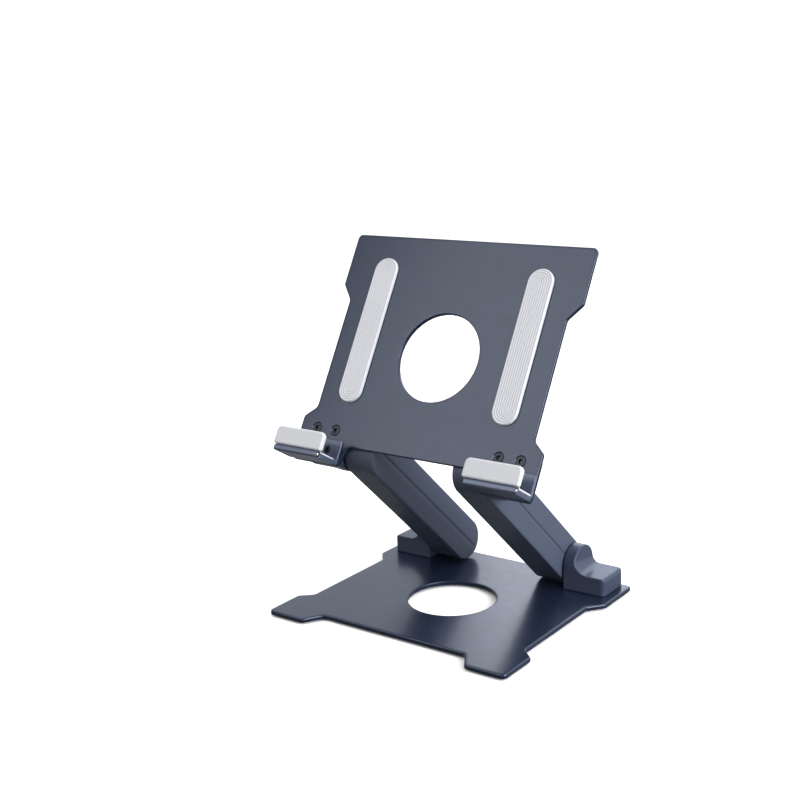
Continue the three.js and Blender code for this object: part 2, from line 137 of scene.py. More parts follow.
@dataclass(frozen=True)
class Finish:
    """What every finish has: a main and a second colour that drift over the surface, gloss, and a fine grain.

    The colour drifts between the two in soft patches, the gloss drifts with a second pattern, and a noise of
    the grain's real size and depth makes the bump.
    """

    name: str
    colour: str
    drift_colour: str
    rough: float
    rough_swing: float
    metallic: float
    grain_mm: float
    grain_depth_mm: float
    drift_mm: float = 45.0
    # A painted highlight on rounded edges: its colour, and its share where the mesh is most pointed.
    edge_colour: str = ""
    edge_share: float = 0.0

    def shader_values(self) -> dict:
        """Extra values set on the shader's own sockets."""
        return {}

    def height(self, tree: bpy.types.NodeTree, where: bpy.types.NodeSocket) -> bpy.types.NodeSocket:
        """The bump's height, 0 to 1, from noise of the grain's size.

        Args:
            tree: The material's node tree.
            where: The object coordinates.
        Returns:
            The socket that carries the height.
        """
        noise = {"Vector": where, "Scale": per_mm(self.grain_mm), "Detail": 3.0, "Roughness": 0.55}
        return add_node(tree, "TexNoise", {}, noise).outputs["Fac"]

    def build(self) -> bpy.types.Material:
        """Make the material, once.

        Returns:
            The material, ready for any piece.
        """
        made = bpy.data.materials.get(self.name)
        if made is not None:
            return made
        made = bpy.data.materials.new(self.name)
        made.use_nodes = True
        tree = made.node_tree
        tree.nodes.clear()
        where = add_node(tree, "TexCoord", {}, {}).outputs["Object"]
        drift = add_node(tree, "TexNoise", {}, {"Vector": where, "Scale": per_mm(self.drift_mm), "Detail": 2.0})
        colour = add_node(
            tree,
            "Mix",
            {"data_type": "RGBA"},
            {0: drift.outputs["Fac"], 6: srgb(self.colour), 7: srgb(self.drift_colour)},
        ).outputs[2]
        # Paint the edge highlight into the colour.
        if self.edge_share > 0:
            colour = self.worn_edges(tree, colour)
        smear = add_node(
            tree, "TexNoise", {}, {"Vector": where, "Scale": per_mm(self.drift_mm / 6), "Detail": 5.0}
        )
        gloss = add_node(
            tree,
            "MapRange",
            {},
            {
                "Value": smear.outputs["Fac"],
                "From Min": 0.3,
                "From Max": 0.7,
                "To Min": self.rough - self.rough_swing,
                "To Max": self.rough + self.rough_swing,
            },
        )
        bump = add_node(
            tree,
            "Bump",
            {},
            {"Height": self.height(tree, where), "Distance": self.grain_depth_mm * MM, "Strength": 1.0},
        )
        shader = add_node(
            tree,
            "BsdfPrincipled",
            {},
            {
                "Base Color": colour,
                "Roughness": gloss.outputs[0],
                "Metallic": self.metallic,
                "Normal": bump.outputs[0],
                **self.shader_values(),
            },
        )
        add_node(tree, "OutputMaterial", {}, {"Surface": shader.outputs[0]})
        return made

    def worn_edges(self, tree: bpy.types.NodeTree, colour: bpy.types.NodeSocket) -> bpy.types.NodeSocket:
        """Paint a highlight on the outer edges, strongest where the mesh is most pointed.

        Args:
            tree: The material's node tree.
            colour: The colour so far.
        Returns:
            The colour with the painted edge highlight mixed in.
        """
        pointed = add_node(tree, "NewGeometry", {}, {}).outputs["Pointiness"]
        share = add_node(
            tree,
            "MapRange",
            {},
            {
                "Value": pointed, "From Min": HIGHLIGHT_FROM, "From Max": HIGHLIGHT_FULL,
                "To Min": 0.0, "To Max": self.edge_share,
            },
        )
        mixed = {0: share.outputs[0], 6: colour, 7: srgb(self.edge_colour)}
        return add_node(tree, "Mix", {"data_type": "RGBA"}, mixed).outputs[2]


@dataclass(frozen=True)
class PowderPaint(Finish):
    """Satin powder paint on sheet metal: a slow orange peel under a glossy skin."""

    coat: float = 0.5
    tint: str = "#bccae6"

    def shader_values(self) -> dict:
        """A thin blue-grey skin over the pigment."""
        tint = srgb(self.tint)
        skin = {"Coat Weight": self.coat, "Coat Roughness": 0.2, "Coat Tint": tint}
        return {**skin, "IOR": 1.5, "Specular Tint": tint}


@dataclass(frozen=True)
class MouldedPlastic(Finish):
    """ABS from a spark-eroded mould: a fine even grain that spreads the light without a clear highlight."""

    tint: str = "#c0cdea"

    def shader_values(self) -> dict:
        """Typical ABS with a blue-grey sheen."""
        return {"IOR": 1.53, "Specular Tint": srgb(self.tint)}


@dataclass(frozen=True)
class MouldedSilicone(Finish):
    """Silicone rubber from a polished mould: light goes a little way in, and a soft bloom lies on the skin."""

    def shader_values(self) -> dict:
        """Shallow scattering and a faint bloom."""
        return {
            "IOR": 1.41,
            "Subsurface Weight": 0.25,
            "Subsurface Radius": (1.2 * MM, 1.1 * MM, 1.0 * MM),
            "Subsurface Scale": 1.0,
            "Sheen Weight": 0.2,
            "Sheen Roughness": 0.4,
        }


@dataclass(frozen=True)
class BrushedMetal(Finish):
    """Steel drawn or turned so that fine lines run one way: the grain is stretched along the lines."""

    stretch: tuple[float, float, float] = (0.04, 1.0, 1.0)

    def height(self, tree: bpy.types.NodeTree, where: bpy.types.NodeSocket) -> bpy.types.NodeSocket:
        """Noise squeezed along one direction so that it draws into lines.

        Args:
            tree: The material's node tree.
            where: The object coordinates.
        Returns:
            The socket that carries the height.
        """
        drawn = add_node(tree, "Mapping", {}, {"Vector": where, "Scale": self.stretch}).outputs[0]
        noise = {"Vector": drawn, "Scale": per_mm(self.grain_mm), "Detail": 4.0}
        return add_node(tree, "TexNoise", {}, noise).outputs["Fac"]


# A dark navy powder coat that looks grey where it mirrors the surround at a low angle.
PLATE_PAINT = PowderPaint("satin_powder_painted_steel", "#1a2232", "#1e2637", 0.32, 0.04, 0.3, 1.1, 0.005)
# The same kind of powder coat on the bent hooks, painted paler than the plates: the lighter colour is painted light,
# standing in for the light that the hooks' front band catches.
LIT_HOOK_PAINT = PowderPaint("satin_powder_painted_strip", "#4c5260", "#505766", 0.36, 0.04, 0.25, 1.1, 0.005)
# ABS coloured in the mass, with the fine grain of a spark-eroded mould.
ARM_PLASTIC = MouldedPlastic("spark_textured_moulded_abs", "#3e4554", "#424958", 0.42, 0.04, 0.15, 0.55, 0.012)
# The same ABS from a smoother mould.
BLOCK_PLASTIC = MouldedPlastic("satin_moulded_abs", "#343b4c", "#393f50", 0.34, 0.04, 0.25, 0.6, 0.006)
# Grey silicone rubber from a polished mould, with a painted near-white highlight on its rounded edges.
PAD_SILICONE = MouldedSilicone(
    "light_grey_moulded_silicone", "#adafb4", "#b2b4b9", 0.5, 0.05, 0.0, 0.5, 0.006,
    edge_colour="#f6f7f9", edge_share=0.9,
)
# The same silicone without the painted edge highlight, where ribs would read as edges.
GRIP_SILICONE = MouldedSilicone("light_grey_ribbed_silicone", "#b0b2b7", "#b5b7bc", 0.55, 0.05, 0.0, 0.5, 0.006)
# Black rubber with a dull moulded skin.
FOOT_RUBBER = Finish("moulded_black_rubber", "#24262a", "#2b2d31", 0.78, 0.06, 0.0, 0.4, 0.02)
# Zinc plate with a clear passivation, and with a black one for the screws that show.
ZINC = BrushedMetal("bright_zinc_plated_steel", "#a4a8ae", "#b2b5ba", 0.28, 0.05, 1.0, 0.3, 0.003)
BLACK_ZINC = BrushedMetal("black_zinc_plated_steel", "#2c2f35", "#34373d", 0.36, 0.05, 1.0, 0.3, 0.003)
# Bar steel, bright from the lathe, and sheet spring steel, grey from its heat treatment.
TURNED_STEEL = BrushedMetal("turned_bright_steel", "#a9abb0", "#b4b6ba", 0.3, 0.06, 1.0, 0.3, 0.004)
PRESSED_STEEL = BrushedMetal(
    "pressed_spring_steel", "#6d7076", "#7b7e84", 0.38, 0.07, 1.0, 0.4, 0.005, stretch=(1.0, 0.05, 0.05)
)

# ---------------------------------------------------------------- surfaces


def steps(low: float, high: float, count: int) -> np.ndarray:
    """Evenly spaced values, both ends included."""
    return np.linspace(low, high, count + 1)


def with_margins(low: float, high: float, margin: float, count: int) -> np.ndarray:
    """Values from low to high with one cell of the margin's width at each end, so that an edge can be rounded.

    Args:
        low: First value.
        high: Last value.
        margin: Width of the end cells.
        count: Cells between the margins.
    Returns:
        count + 3 values.
    """
    return np.concatenate([[low], steps(low + margin, high - margin, count), [high]])


def arc(centre: tuple[float, float], radius: float, start: float, end: float, count: int) -> np.ndarray:
    """Points on an arc: the centre plus radius times cosine and sine of each angle.

    Args:
        centre: The arc's centre.
        radius: Its radius.
        start: First angle in degrees.
        end: Last angle in degrees.
        count: Number of steps.
    Returns:
        Array of points, two numbers each.
    """
    angle = np.radians(steps(start, end, count))
    return np.stack([centre[0] + radius * np.cos(angle), centre[1] + radius * np.sin(angle)], axis=-1)


def rounded_loop(corners: list[tuple[float, float, float]], count: int) -> np.ndarray:
    """A closed outline with each corner replaced by an arc tangent to both its sides.

    The arc's centre lies on the corner's bisector, at radius over the sine of half the angle. Its points are
    the two radii to the tangent points, mixed by sine weights so that they stay on the circle.

    Args:
        corners: x, y and radius of each corner, in order.
        count: Steps in each arc.
    Returns:
        Array of points, two numbers each, without the first repeated.
    """
    table = np.array(corners, float)
    here, radius = table[:, :2], table[:, 2:]
    back = np.roll(here, 1, axis=0) - here
    ahead = np.roll(here, -1, axis=0) - here
    back /= np.linalg.norm(back, axis=1, keepdims=True)
    ahead /= np.linalg.norm(ahead, axis=1, keepdims=True)
    half = np.arccos(np.clip((back * ahead).sum(axis=1, keepdims=True), -1, 1)) / 2
    bisector = back + ahead
    bisector /= np.linalg.norm(bisector, axis=1, keepdims=True)
    centre = here + bisector * radius / np.sin(half)
    first = here + back * radius / np.tan(half) - centre
    last = here + ahead * radius / np.tan(half) - centre
    sweep = (pi - 2 * half)[:, None, :]
    part = steps(0, 1, count)[None, :, None]
    mixed = np.sin((1 - part) * sweep) * first[:, None] + np.sin(part * sweep) * last[:, None]
    return (centre[:, None] + mixed / np.sin(sweep)).reshape(-1, 2)


def densified(loop: np.ndarray, spacing: float) -> np.ndarray:
    """A closed outline with extra points on its long straight sides.

    Args:
        loop: The outline's points.
        spacing: Longest step allowed.
    Returns:
        The outline with each long step cut into equal parts.
    """
    ahead = np.roll(loop, -1, axis=0) - loop
    parts = np.maximum(1, np.ceil(np.linalg.norm(ahead, axis=1) / spacing).astype(int))
    which = np.repeat(np.arange(len(loop)), parts)
    first = np.repeat(np.cumsum(parts) - parts, parts)
    share = (np.arange(len(which)) - first) / parts[which]
    return loop[which] + ahead[which] * share[:, None]


def inward(loop: np.ndarray) -> np.ndarray:
    """Unit normals of an anticlockwise outline, pointing in: the tangent turned a quarter turn left."""
    tangent = np.roll(loop, -1, axis=0) - np.roll(loop, 1, axis=0)
    tangent /= np.linalg.norm(tangent, axis=1, keepdims=True)
    return np.stack([-tangent[:, 1], tangent[:, 0]], axis=-1)


def stadium_loop(length: float, width: float, count: int) -> np.ndarray:
    """A round-ended oblong along X, centred at the origin, anticlockwise."""
    r = width / 2
    reach = length / 2 - r
    return np.concatenate([arc((reach, 0), r, -90, 90, count), arc((-reach, 0), r, 90, 270, count)])


def carried(loop: np.ndarray, profile: np.ndarray) -> np.ndarray:
    """A profile carried round an outline: each point moves in by the inset and takes the level.

    Args:
        loop: Anticlockwise outline in x and y.
        profile: Rows of inset and level z.
    Returns:
        Grid of points, outline by profile.
    """
    flat = loop[:, None, :] + inward(loop)[:, None, :] * profile[None, :, :1]
    level = np.broadcast_to(profile[None, :, 1:], (*flat.shape[:2], 1))
    return np.concatenate([flat, level], axis=-1)


def round_edge(radius: float, level: float, rise: float, count: int = 5) -> np.ndarray:
    """Quarter round from the wall to the face: inset and level at each step.

    Args:
        radius: The round's radius.
        level: Level of the face.
        rise: +1 if the face looks along +Z, -1 if along -Z.
        count: Number of steps.
    Returns:
        Rows of inset and level, from the wall to the face.
    """
    angle = np.radians(steps(0, 90, count))
    return np.stack([radius * (1 - np.cos(angle)), level - rise * radius * (1 - np.sin(angle))], axis=-1)


def turned_grid(
    profile: np.ndarray, count: int = 40, sides: int = 0, flat_rows: tuple[int, ...] = ()
) -> np.ndarray:
    """A profile turned about Z. Rows named as flat take a polygon's radius in place of the circle's.

    A regular polygon with the row's radius at its flats reaches that radius over the cosine of the angle
    from the nearest flat's middle.

    Args:
        profile: Rows of radius and level.
        count: Steps round the axis.
        sides: Sides of the polygon rows.
        flat_rows: Which rows are polygons.
    Returns:
        Grid of points, angle by profile, closed round the axis.
    """
    angle = steps(0, 2 * pi, count)[:-1]
    reach = np.ones((count, len(profile)))
    if sides:
        from_flat = np.mod(angle, 2 * pi / sides) - pi / sides
        reach[:, list(flat_rows)] = (1 / np.cos(from_flat))[:, None]
    radius = profile[None, :, 0] * reach
    level = np.broadcast_to(profile[None, :, 1], radius.shape)
    return np.stack([radius * np.cos(angle)[:, None], radius * np.sin(angle)[:, None], level], axis=-1)


@dataclass
class Shell:
    """Grids and caps that together close one piece, in its sub-assembly's own millimetres."""

    points: list[np.ndarray] = field(default_factory=list)
    faces: list[list[int]] = field(default_factory=list)
    total: int = 0

    def grid(self, points: np.ndarray, wrap: bool = False) -> "Shell":
        """Add a grid of quads.

        Args:
            points: Array of rows by columns by three.
            wrap: Whether the last row joins the first.
        Returns:
            This shell.
        """
        rows, columns = points.shape[:2]
        index = np.arange(rows * columns).reshape(rows, columns) + self.total
        ahead = np.roll(index, -1, axis=0)
        if not wrap:
            index, ahead = index[:-1], ahead[:-1]
        quads = np.stack([index[:, :-1], ahead[:, :-1], ahead[:, 1:], index[:, 1:]], axis=-1)
        self.faces += quads.reshape(-1, 4).tolist()
        self.points.append(points.reshape(-1, 3))
        self.total += rows * columns
        return self

    def cap(self, loop: np.ndarray) -> "Shell":
        """Add one flat face on a loop of points.

        Args:
            loop: The points, in order.
        Returns:
            This shell.
        """
        self.faces.append(list(range(self.total, self.total + len(loop))))
        self.points.append(loop)
        self.total += len(loop)
        return self

    def filled(self, outer: np.ndarray, inner: np.ndarray) -> "Shell":
        """Add a flat face with a hole in it, cut into triangles.

        Args:
            outer: The face's outline.
            inner: The hole's outline.
        Returns:
            This shell.
        """
        loops = [[Vector(point) for point in loop] for loop in (outer.tolist(), inner.tolist())]
        self.faces += [[index + self.total for index in corner] for corner in tessellate_polygon(loops)]
        self.points.append(np.concatenate([outer, inner]))
        self.total += len(outer) + len(inner)
        return self

    def prism(self, loop: np.ndarray, low: float, high: float) -> "Shell":
        """Add a closed prism: a flat outline carried along Z from one level to another.

        Args:
            loop: The outline in x and y.
            low: First level.
            high: Second level.
        Returns:
            This shell.
        """
        wall = np.stack([np.insert(loop, 2, level, axis=1) for level in (low, high)], axis=1)
        return self.grid(wall, wrap=True).cap(wall[:, 0]).cap(wall[:, 1])

    def moved(self, matrix: np.ndarray, offset: tuple[float, float, float]) -> "Shell":
        """The same shell with each point turned by a matrix and then shifted.

        Args:
            matrix: Three by three.
            offset: Shift after the turn.
        Returns:
            A new shell.
        """
        turned = [p @ matrix.T + np.array(offset) for p in self.points]
        return Shell(turned, [list(f) for f in self.faces], self.total)


@dataclass(frozen=True)
class Place:
    """Where a sub-assembly's own frame stands: its hinge axis, and its turn about X."""

    own_axis: tuple[float, float]
    axis: tuple[float, float]
    turn: float

    def carry(self, points: np.ndarray, side: Side) -> np.ndarray:
        """Points in the row frame, in metres: turned about the hinge axis, then mirrored for the left side.

        Args:
            points: Points in the sub-assembly's own millimetres.
            side: Which half of the stand.
        Returns:
            Array of the same shape.
        """
        y, z = points[..., 1] - self.own_axis[0], points[..., 2] - self.own_axis[1]
        c, s = cos(self.turn), sin(self.turn)
        moved = [side.value * points[..., 0], self.axis[0] + y * c - z * s, self.axis[1] + y * s + z * c]
        return np.stack(moved, axis=-1) * MM


def mesh_object(name: str, shell: Shell, place: Place, side: Side) -> bpy.types.Object:
    """Make a closed mesh in its place: doubles merged, and faces turned to point out.

    Args:
        name: The object's name.
        shell: The surfaces.
        place: Where the shell's frame stands.
        side: Which half of the stand.
    Returns:
        The new object.
    """
    mesh = bpy.data.meshes.new(name)
    mesh.from_pydata(place.carry(np.concatenate(shell.points), side).tolist(), [], shell.faces)
    work = bmesh.new()
    work.from_mesh(mesh)
    bmesh.ops.remove_doubles(work, verts=work.verts, dist=2e-6)
    bmesh.ops.dissolve_degenerate(work, edges=work.edges, dist=1e-6)
    bmesh.ops.recalc_face_normals(work, faces=work.faces)
    work.to_mesh(mesh)
    work.free()
    made = bpy.data.objects.new(name, mesh)
    bpy.context.scene.collection.objects.link(made)
    return made


OWN_PLACE = Place((0, 0), (0, 0), 0)


def shell_of(piece: bpy.types.Object) -> Shell:
    """Take a finished object's mesh back into a shell in millimetres, and remove the object.

    Args:
        piece: The object.
    Returns:
        Its points and faces as a shell.
    """
    mesh = piece.data
    points = np.empty(3 * len(mesh.vertices))
    mesh.vertices.foreach_get("co", points)
    faces = [list(polygon.vertices) for polygon in mesh.polygons]
    bpy.data.objects.remove(piece)
    return Shell([points.reshape(-1, 3) / MM], faces, len(points) // 3)


def apply_modifiers(piece: bpy.types.Object) -> None:
    """Replace the piece's mesh by what its modifiers make of it.

    Args:
        piece: The object that changes.
    """
    bpy.context.view_layer.update()
    final = bpy.data.meshes.new_from_object(piece.evaluated_get(bpy.context.evaluated_depsgraph_get()))
    piece.modifiers.clear()
    piece.data = final


def combined(piece: bpy.types.Object, tools: list[bpy.types.Object], operation: str) -> None:
    """Cut the tools out of a piece, or join them to it, and remove them.

    Args:
        piece: The object that changes.
        tools: Closed meshes.
        operation: DIFFERENCE or UNION.
    """
    for tool in tools:
        step = piece.modifiers.new("shape", "BOOLEAN")
        step.operation = operation
        step.solver = "EXACT"
        step.object = tool
    apply_modifiers(piece)
    for tool in tools:
        bpy.data.objects.remove(tool)


def melted(piece: bpy.types.Object, cell_mm: float, passes: int) -> None:
    """Round every edge as a mould does: rebuild the surface in small even cells, then average neighbours.

    Args:
        piece: A closed object.
        cell_mm: Size of the cells.
        passes: How many times each point moves to its neighbours' mean.
    """
    cells = piece.modifiers.new("cells", "REMESH")
    cells.mode = "VOXEL"
    cells.voxel_size = cell_mm * MM
    smooth = piece.modifiers.new("smooth", "SMOOTH")
    smooth.factor = 0.5
    smooth.iterations = passes
    apply_modifiers(piece)


@dataclass
class Assembly:
    """A sub-assembly: the body that its pieces ride on, and the place of its own frame."""

    body: str
    place: Place

    def make(self, name: str, shell: Shell, side: Side = Side.RIGHT) -> bpy.types.Object:
        """A closed mesh in this sub-assembly's place."""
        return mesh_object(name, shell, self.place, side)

    def dress(self, piece: bpy.types.Object, node: str, finish: Finish, slot: str) -> bpy.types.Object:
        """Shade and hang a finished piece in place of its CAD node.

        Args:
            piece: The finished object.
            node: The CAD node that it stands for.
            finish: Its finish.
            slot: The record's material slot; not used.
        Returns:
            The piece.
        """
        mesh = piece.data
        mesh.polygons.foreach_set("use_smooth", np.ones(len(mesh.polygons), bool))
        mesh.set_sharp_from_angle(angle=radians(SHARP_DEG))
        mesh.materials.clear()
        mesh.materials.append(finish.build())
        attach(piece, self.body)
        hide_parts(node)
        LOG.info("%s: %d faces on %s", piece.name, len(mesh.polygons), self.body)
        return piece


# ---------------------------------------------------------------- fasteners

TO_X = np.array([[0, 0, 1], [1, 0, 0], [0, 1, 0]], float)  # carries x, y, z to y, z, x
TO_Y = np.array([[0, 1, 0], [0, 0, 1], [1, 0, 0]], float)  # carries x, y, z to z, x, y
FLIP_Z = np.diag([1.0, -1.0, -1.0])
STRAIGHT = np.eye(3)
QUARTER_TURN = np.array([[0, -1, 0], [1, 0, 0], [0, 0, 1]], float)  # about Z


@dataclass(frozen=True)
class SocketScrew:
    """A hex-socket screw along +Z with its head's outer face at z = 0."""

    shank_r: float
    head_r: float
    head_h: float
    length: float
    socket_flat: float
    countersunk: bool = True

    def shell(self) -> Shell:
        """The profile from the socket's floor, out over the head and down the shank to the tip, turned about Z."""
        depth = 0.6 * self.head_h
        edge = 0.12 * self.head_r
        socket = [(0, depth), (self.socket_flat, depth), (self.socket_flat, 0.18), (self.socket_flat * 1.16, 0)]
        if self.countersunk:
            head = [(self.head_r - edge, 0), (self.head_r, 0.25), (self.shank_r, self.head_h)]
        else:
            head = [
                (self.head_r - edge, 0),
                (self.head_r - 0.3 * edge, 0.3 * edge),
                (self.head_r, edge),
                (self.head_r, self.head_h),
                (self.shank_r, self.head_h),
            ]
        tip = [(self.shank_r, self.length - self.shank_r), (0, self.length)]
        profile = np.array(socket + head + tip, float)
        return Shell().grid(turned_grid(profile, 36, 6, (1, 2)), wrap=True)


BLOCK_SCREW = SocketScrew(1.5, 3.2, 1.9, 9.5, 1.25)
HOOK_SCREW = SocketScrew(1.2, 2.3, 1.3, 7.5, 0.95)
ARM_SCREW = SocketScrew(1.1, 2.3, 1.6, 12.0, 1.0, countersunk=False)
SCREW_PLAY = 0.3


def drilled(radius: float, low: float, high: float, mouth: float = 0.0) -> Shell:
    """A cutter for a round hole along Z, with an optional chamfered mouth at its low end."""
    profile = [(0, low), (radius + mouth, low), (radius + mouth, low + 0.01), (radius, low + 0.01 + mouth)]
    profile += [(radius, high), (0, high)]
    return Shell().grid(turned_grid(np.array(profile, float), 40), wrap=True)


def countersink(screw: SocketScrew, outer: float, depth: float = 6.0) -> Shell:
    """A cutter for a screw's seat from the outer face at z = outer, and its clearance hole.

    Args:
        screw: The screw.
        outer: Level of the outer face.
        depth: Depth of the hole from there.
    Returns:
        The cutter.
    """
    mouth, shank = screw.head_r + SCREW_PLAY, screw.shank_r + SCREW_PLAY
    profile = [(0, outer - 1), (mouth, outer - 1), (mouth, outer), (shank, outer + screw.head_h + SCREW_PLAY)]
    profile += [(shank, outer + depth), (0, outer + depth)]
    return Shell().grid(turned_grid(np.array(profile, float), 40), wrap=True)


# ---------------------------------------------------------------- platforms


@dataclass
class PlatformBuild(Assembly):
    """A plate with stepped corner tabs and a round hole, and the hinge blocks, screws and shafts it carries."""

    kind: Platform = Platform.BASE
    thickness: float = 2.8
    half_y: float = 73.0
    body_half_x: float = 75.7
    tab_half_x: float = 83.4
    tab_step: float = 12.2
    tab_inner_x: float = 57.5
    tab_ramp_x: float = 7.5
    hole_r: float = 26.9
    top_round: float = 0.95
    foot_round: float = 0.6
    hole_round: float = 0.45
    guard: float = 1.2
    hinge_y: float = 59.5
    hinge_z: float = 13.4
    block_screws: tuple[tuple[float, float], ...] = ((57.0, 52.0), (71.0, 52.0))

    def plan(self) -> np.ndarray:
        """The plate's outline, anticlockwise. The stepped edge is at -Y on the base and at +Y on the tray."""
        edge, inner = self.half_y, self.tab_inner_x
        right = [
            (inner - self.tab_ramp_x, edge - self.tab_step, 4.0),
            (inner, edge, 3.0),
            (self.tab_half_x, edge, 3.0),
            (self.tab_half_x, 46.0, 3.0),
            (self.body_half_x, 39.5, 4.0),
            (self.body_half_x, -30.0, 4.0),
            (self.tab_half_x, -39.5, 3.0),
            (self.tab_half_x, -edge, 3.0),
        ]
        left = [(-x, y, r) for x, y, r in reversed(right)]
        loop = densified(rounded_loop(right + left, 8), 3.0)
        if self.kind is Platform.BASE:
            loop = loop * np.array([1.0, -1.0])
            return loop
        return loop[::-1]

    def edge_profile(self, top_round: float) -> np.ndarray:
        """Inset and level from the outer face's flat strip, round the edge, to the inner face's flat strip.

        Args:
            top_round: Radius of the inner face's edge.
        Returns:
            Rows of inset and level.
        """
        low = -self.thickness
        under, over = round_edge(self.foot_round, low, -1)[::-1], round_edge(top_round, 0.0, 1)
        flat = [[(self.foot_round + self.guard, low)], under, over, [(top_round + self.guard, 0.0)]]
        return np.concatenate([np.array(rows, float) for rows in flat])

    def plate_shell(self) -> Shell:
        """Rim and hole wall, each a rounded profile carried round its outline, and the faces between them.

        Each profile ends in a flat strip, so that the rounding's shading stops there.
        """
        wall = carried(self.plan(), self.edge_profile(self.top_round))
        circle = arc((0, 0), self.hole_r, 0, 360, 144)[:-1]
        bore = carried(circle, self.edge_profile(self.hole_round) * [-1, 1])
        shell = Shell().grid(wall, wrap=True).grid(bore, wrap=True)
        return shell.filled(wall[:, 0], bore[:, 0]).filled(wall[:, -1], bore[:, -1])

    def both(self, spots: tuple[tuple[float, float], ...]) -> list[tuple[float, float]]:
        """The spots and their mirror images in X."""
        return [(sign * x, y) for x, y in spots for sign in (1, -1)]

    def plate_cutters(self) -> list[Shell]:
        """Seats for the screws that come through the plate into the blocks."""
        seat = countersink(BLOCK_SCREW, -self.thickness)
        return [seat.moved(STRAIGHT, (x, y, 0)) for x, y in self.both(self.block_screws)]

    def build_plate(self) -> None:
        """Shape the plate, cut its seats and dress it."""
        name = f"{self.kind.value}_plate"
        plate = self.make(f"{name}_painted", self.plate_shell())
        tools = [self.make(f"{name}_cut", cutter) for cutter in self.plate_cutters()]
        combined(plate, tools, "DIFFERENCE")
        self.dress(plate, name, PLATE_PAINT, "painted_plate")

    def pilots(self) -> tuple[tuple[float, float], ...]:
        """Where screws go into a block."""
        return self.block_screws

    def block_shell(self) -> Shell:
        """The platform's hinge block, softened."""
        return HingeBlock(self.hinge_y, self.hinge_z, self.pilots()).shell()

    def build_hinge_side(self, side: Side, block: Shell) -> None:
        """One side's block and the screws that hold it.

        Args:
            side: Which side.
            block: The block's shell.
        """
        where = self.kind.value
        node = f"{where}_hinge_block_{side.label}"
        self.dress(self.make(f"{node}_moulded", block, side), node, BLOCK_PLASTIC, "moulded_body")
        for number, (x, y) in enumerate(self.block_screws, 1):
            node = f"{where}_block_screw_{side.label}_{number}"
            shell = BLOCK_SCREW.shell().moved(STRAIGHT, (x, y, -self.thickness + 0.1))
            self.dress(self.make(f"{node}_turned", shell, side), node, BLACK_ZINC, "zinc_hardware")


@dataclass(frozen=True)
class HingeBlock:
    """A round-topped lug beside the arm and a low box outboard, joined by a hollow scoop."""

    hinge_y: float
    hinge_z: float
    pilots: tuple[tuple[float, float], ...]
    lug_r: float = 12.3
    lug_x: float = 57.4
    x0: float = 50.0
    x1: float = 77.9
    low_z: float = 11.2
    near_r: float = 8.8
    far_r: float = 4.5
    crown_r: float = 2.5
    corner_r: float = 3.0
    lift: float = 0.05
    bore_r: float = 4.2
    bore_end: float = 55.5
    pilot_r: float = 1.7
    pilot_end: float = 7.6

    def end_view(self) -> Shell:
        """The lug's outline, straight up to the hinge axis and round above it, carried along X."""
        dome = arc((self.hinge_y, self.hinge_z), self.lug_r, 0, 180, 72)
        foot = np.array([(self.hinge_y - self.lug_r, self.lift), (self.hinge_y + self.lug_r, self.lift)])
        return Shell().prism(np.concatenate([foot, dome]), self.x0, self.x1).moved(TO_X, (0, 0, 0))

    def plan_view(self) -> Shell:
        """The plan, with its two outer corners rounded, carried upwards."""
        y0, y1 = self.hinge_y - self.lug_r, self.hinge_y + self.lug_r
        outer = self.corner_r
        corners = [(self.x0, y0, 0.01), (self.x1, y0, outer), (self.x1, y1, outer), (self.x0, y1, 0.01)]
        return Shell().prism(rounded_loop(corners, 12), -1, 30)

    def front_view(self) -> Shell:
        """The front view without the scoop, with a rounded outer top edge, carried along Y."""
        edge = self.x1 - self.crown_r
        crown = arc((self.low_z - self.crown_r, edge), self.crown_r, 90, 0, 10)
        loop = [(-1, self.x0 - 1), (30, self.x0 - 1), (30, edge), (self.low_z, edge)]
        loop = np.concatenate([np.array(loop, float), crown[::-1][1:], [(-1, self.x1)]])
        return Shell().prism(loop, self.hinge_y - 20, self.hinge_y + 20).moved(TO_Y, (0, 0, 0))

    def scoop(self) -> Shell:
        """The space over the low box: a quadrant whose round corner narrows evenly from the near end to the far."""
        reach = self.lug_r + 0.5

        def quadrant(r: float, y: float) -> np.ndarray:
            """The quadrant's outline at one end, as x, y and z."""
            corner = arc((self.lug_x + r, self.low_z + r), r, 180, 270, 20)
            loop = np.concatenate([[(self.lug_x, 31)], corner, [(self.x1 + 1, self.low_z), (self.x1 + 1, 31)]])
            return np.insert(loop, 1, self.hinge_y + y, axis=1)

        near, far = quadrant(self.near_r, -reach), quadrant(self.far_r, reach)
        rows = near[:, None] + (far - near)[:, None] * steps(0, 1, 16)[None, :, None]
        return Shell().grid(rows, wrap=True).cap(rows[:, 0]).cap(rows[:, -1])

    def shell(self) -> Shell:
        """Where the three views meet, less the scoop and the bores, with every edge softened."""
        piece = mesh_object("block", self.end_view(), OWN_PLACE, Side.RIGHT)
        for view in (self.plan_view(), self.front_view()):
            combined(piece, [mesh_object("view", view, OWN_PLACE, Side.RIGHT)], "INTERSECT")
        bore = drilled(self.bore_r, 49.0, self.bore_end).moved(TO_X, (0, self.hinge_y, self.hinge_z))
        cuts = [self.scoop(), bore]
        cuts += [drilled(self.pilot_r, -1, self.pilot_end).moved(STRAIGHT, (x, y, 0)) for x, y in self.pilots]
        combined(piece, [mesh_object("cut", cut, OWN_PLACE, Side.RIGHT) for cut in cuts], "DIFFERENCE")
        melted(piece, 0.25, 18)
        return shell_of(piece)


